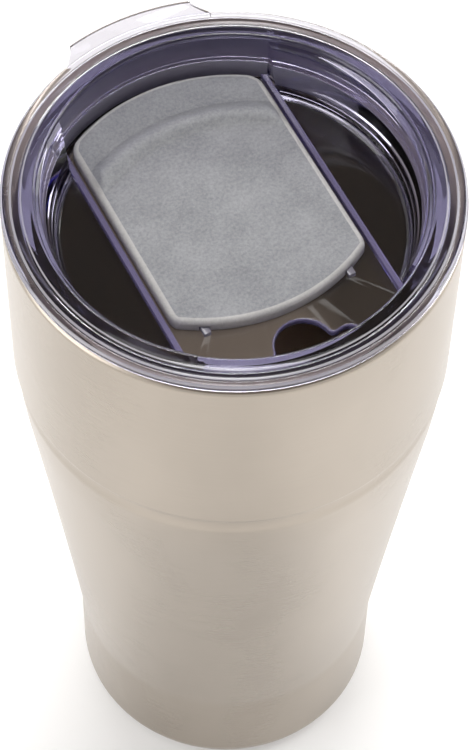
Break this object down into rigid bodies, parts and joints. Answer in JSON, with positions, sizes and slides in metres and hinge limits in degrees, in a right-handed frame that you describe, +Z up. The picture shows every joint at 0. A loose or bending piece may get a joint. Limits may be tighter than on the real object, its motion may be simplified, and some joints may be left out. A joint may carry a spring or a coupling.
{
  "type": "insulated tumbler",
  "caption": "Tall double-walled steel tumbler with a tapered lower body and straight foot, a clear press-in lid with lift tab, and a sliding frosted closure over the drinking opening.",
  "frame": {"origin": "centre of the base's resting face, on the cup's axis", "axes": "+Z up along the cup's axis, +Y towards the lid's lift tab, the drinking opening at -Y"},
  "size_m": [0.1, 0.1036, 0.2007],
  "materials": {
    "shell_steel": "satin, finely brushed around",
    "liner_steel": "satin",
    "base_steel": "satin",
    "copper_foil": "bright foil",
    "getter_alloy": "matt pressed powder",
    "frit_glass": "fused glass",
    "clear_plastic": "clear, glossy, faint violet tint",
    "frosted_plastic": "translucent, fine spark texture",
    "silicone": "translucent matt silicone"
  },
  "bodies": {
    "cup": {"outer_shell": "shell_steel", "inner_liner": "liner_steel", "base_pan": "base_steel", "seal_bead": "frit_glass", "base_cover": "base_steel", "heat_shield_foil": "copper_foil", "getter_holder": "base_steel", "getter_pellet": "getter_alloy"},
    "seal_ring": {"lid_gasket": "silicone"},
    "lid": {"lid_shell": "clear_plastic"},
    "slider": {"slider_plate": "frosted_plastic", "slider_clip": "frosted_plastic", "drink_seal": "silicone"}
  },
  "joints": [
    {"name": "lid_lift", "type": "slide", "parent": "cup", "child": "seal_ring", "axis": [0, 0, 1], "range_m": [0, 0.06]},
    {"name": "lid_turn", "type": "hinge", "parent": "seal_ring", "child": "lid", "pos_m": [0, 0, 0.19], "axis": [0, 0, 1], "continuous": true},
    {"name": "slider_slide", "type": "slide", "parent": "lid", "child": "slider", "axis": [0, -1, 0], "range_m": [0, 0.0168]}
  ]
}
